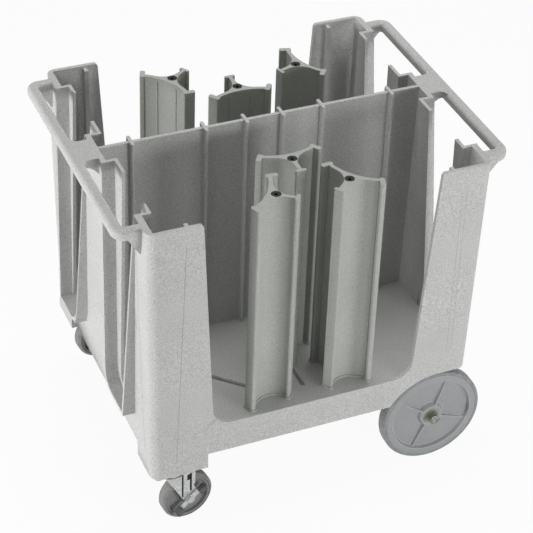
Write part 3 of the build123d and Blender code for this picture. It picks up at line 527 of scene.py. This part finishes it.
# Outlines on the leg of the fork, chrome straps and dark sheets of painted shade for its slots and
# window: how far along the trail from the axle, and how high
LEG_PLATES = {
    "strap_back": ((-0.0125, 0.0235), (0.0005, 0.0235), (0.0005, 0.0785), (-0.0125, 0.0785)),
    "strap_front": ((0.0065, 0.0235), (0.0148, 0.0235), (0.0148, 0.0785), (0.0065, 0.0785)),
}
# Dark sheets: painted shade where the leg has slots and a window
LEG_OPENING_SHADES = {
    "slot_back": ((-0.0195, 0.0120), (-0.0155, 0.0080), (-0.0155, 0.0785), (-0.0195, 0.0785)),
    "slot_middle": ((0.0012, 0.0220), (0.0058, 0.0220), (0.0058, 0.0785), (0.0012, 0.0785)),
    "window": ((-0.0060, 0.0570), (0.0012, 0.0570), (0.0012, 0.0740), (-0.0060, 0.0740)),
}


def on_fork(side, along, up, out):
    """Point beside a caster's fork, in the caster's own directions. Both casters head
    the same way, so out is the side of the fork that the camera sees."""
    side_y = 1.0 if side == "far" else -1.0
    trail = Vector((math.cos(CASTER_HEADING), math.sin(CASTER_HEADING), 0.0))
    outward = Vector((math.sin(CASTER_HEADING), -math.cos(CASTER_HEADING), 0.0))
    foot = Vector((CASTER_X, side_y * CASTER_Y, CASTER_RADIUS))
    return foot + trail * (CASTER_TRAIL + along) + outward * out + Vector((0.0, 0.0, up))


def leg_plate(name, side, outline, depth, material):
    """Thin plate on the face of a caster's fork that the camera sees. The dark ones paint the shade in
    the leg's slots and window.
    """
    top = FORK_FACE + depth
    work = bmesh.new()
    low = [work.verts.new(on_fork(side, along, up, FORK_FACE)) for along, up in outline]
    high = [work.verts.new(on_fork(side, along, up, top)) for along, up in outline]
    work.faces.new(low[::-1])
    work.faces.new(high)
    band(work, low, high)
    bmesh.ops.recalc_face_normals(work, faces=work.faces)
    piece = new_piece(work, f"{name}_{side}", material)
    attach(piece, f"caster_swivel_{side}")


for side in SIDES:
    for name, outline in LEG_PLATES.items():
        leg_plate(name, side, outline, PLATE_DEPTH, chrome)
    # Black sheets: painted shade in the leg's slots and window
    for name, outline in LEG_OPENING_SHADES.items():
        leg_plate(name, side, outline, SHADE_SHEET_DEPTH, black_steel)


def add_camera():
    data = bpy.data.cameras.new("camera")
    data.sensor_width = SENSOR_WIDTH
    data.lens = FOCAL_PIXELS / FRAME_PIXELS * SENSOR_WIDTH
    data.shift_x = (FRAME_PIXELS / 2 - CENTRE_PIXELS[0]) / FRAME_PIXELS
    data.shift_y = (CENTRE_PIXELS[1] - FRAME_PIXELS / 2) / FRAME_PIXELS
    camera = bpy.data.objects.new("camera", data)
    axes = Matrix((CAMERA_RIGHT, -Vector(CAMERA_DOWN), -Vector(CAMERA_AHEAD))).transposed()
    camera.matrix_world = Matrix.Translation(CAMERA_PLACE) @ axes.to_4x4()
    bpy.context.scene.collection.objects.link(camera)
    bpy.context.scene.camera = camera


def add_lamp(name, place, width, height, power):
    data = bpy.data.lights.new(name, "AREA")
    data.shape = "RECTANGLE"
    data.size = width
    data.size_y = height
    data.energy = power
    lamp = bpy.data.objects.new(name, data)
    lamp.location = place
    aim = Vector(LAMP_TARGET) - Vector(place)
    lamp.rotation_euler = aim.to_track_quat("-Z", "Y").to_euler()
    bpy.context.scene.collection.objects.link(lamp)


def add_world():
    """Soft grey light all round, which the camera and mirrors see as white."""
    world = bpy.data.worlds.new("studio")
    world.use_nodes = True
    tree = world.node_tree
    tree.nodes.clear()
    light = tree.nodes.new("ShaderNodeBackground")
    light.inputs["Strength"].default_value = WORLD_STRENGTH
    light.inputs["Color"].default_value = WORLD_TINT
    seen = tree.nodes.new("ShaderNodeBackground")
    seen.inputs["Color"].default_value = (1.0, 1.0, 1.0, 1.0)
    mix = tree.nodes.new("ShaderNodeMixShader")
    tree.links.new(background_share(tree), mix.inputs["Fac"])
    tree.links.new(light.outputs["Background"], mix.inputs[1])
    tree.links.new(seen.outputs["Background"], mix.inputs[2])
    out = tree.nodes.new("ShaderNodeOutputWorld")
    tree.links.new(mix.outputs["Shader"], out.inputs["Surface"])
    bpy.context.scene.world = world


def background_share(tree):
    """1 for camera, mirror and see-through rays, 0 for the light on surfaces."""
    path = tree.nodes.new("ShaderNodeLightPath")
    total = path.outputs["Is Camera Ray"]
    for name in ("Is Glossy Ray", "Is Transmission Ray"):
        add = tree.nodes.new("ShaderNodeMath")
        add.operation = "MAXIMUM"
        tree.links.new(total, add.inputs[0])
        tree.links.new(path.outputs[name], add.inputs[1])
        total = add.outputs["Value"]
    return total


def floor_whiteness(tree):
    """How much of the floor's own white the camera sees: none in a painted shadow under
    the middle of the body, where the slots look down on it."""
    place = tree.nodes.new("ShaderNodeTexCoord").outputs["Object"]
    split = tree.nodes.new("ShaderNodeSeparateXYZ")
    tree.links.new(place, split.inputs["Vector"])
    share = None
    for axis, (low, high) in (("X", SLOT_SHADE_X), ("Y", SLOT_SHADE_Y)):
        away = tree.nodes.new("ShaderNodeMath")
        away.operation = "ABSOLUTE"
        centred = tree.nodes.new("ShaderNodeMath")
        centred.operation = "SUBTRACT"
        centred.inputs[1].default_value = (low + high) / 2
        tree.links.new(split.outputs[axis], centred.inputs[0])
        tree.links.new(centred.outputs["Value"], away.inputs[0])
        outside = tree.nodes.new("ShaderNodeMapRange")
        outside.interpolation_type = "SMOOTHSTEP"
        outside.inputs["From Min"].default_value = (high - low) / 2 - SLOT_SHADE_FADE
        outside.inputs["From Max"].default_value = (high - low) / 2
        outside.inputs["To Max"].default_value = FLOOR_WHITENESS
        tree.links.new(away.outputs["Value"], outside.inputs["Value"])
        if share is None:
            share = outside.outputs["Result"]
        else:
            most = tree.nodes.new("ShaderNodeMath")
            most.operation = "MAXIMUM"
            tree.links.new(share, most.inputs[0])
            tree.links.new(outside.outputs["Result"], most.inputs[1])
            share = most.outputs["Value"]
    return share


def add_floor():
    half = FLOOR_SIZE / 2
    outline = ((-half, -half), (half, -half), (half, half), (-half, half))
    work = bmesh.new()
    work.faces.new([work.verts.new((x, y, 0.0)) for x, y in outline])
    material = bpy.data.materials.new("pale_floor")
    material.use_nodes = True
    tree = material.node_tree
    tree.nodes.clear()
    whiteness = floor_whiteness(tree)
    matt = tree.nodes.new("ShaderNodeBsdfDiffuse")
    # The floor's colour falls to a darker grey, a painted shadow, where its white fades
    shaded = tree.nodes.new("ShaderNodeMapRange")
    shaded.inputs["From Max"].default_value = FLOOR_WHITENESS
    shaded.inputs["To Min"].default_value = SHADOW_PATCH_COLOUR
    shaded.inputs["To Max"].default_value = FLOOR_COLOUR
    tree.links.new(whiteness, shaded.inputs["Value"])
    tree.links.new(shaded.outputs["Result"], matt.inputs["Color"])
    white = tree.nodes.new("ShaderNodeEmission")
    share = tree.nodes.new("ShaderNodeMath")
    share.operation = "MULTIPLY"
    tree.links.new(background_share(tree), share.inputs[0])
    tree.links.new(whiteness, share.inputs[1])
    mix = tree.nodes.new("ShaderNodeMixShader")
    tree.links.new(share.outputs["Value"], mix.inputs["Fac"])
    tree.links.new(matt.outputs["BSDF"], mix.inputs[1])
    tree.links.new(white.outputs["Emission"], mix.inputs[2])
    out = tree.nodes.new("ShaderNodeOutputMaterial")
    tree.links.new(mix.outputs["Shader"], out.inputs["Surface"])
    floor = new_piece(work, "floor", material)


add_camera()
for name, values in LAMPS.items():
    add_lamp(name, *values)
add_world()
add_floor()
bpy.context.scene.view_settings.view_transform = "Standard"
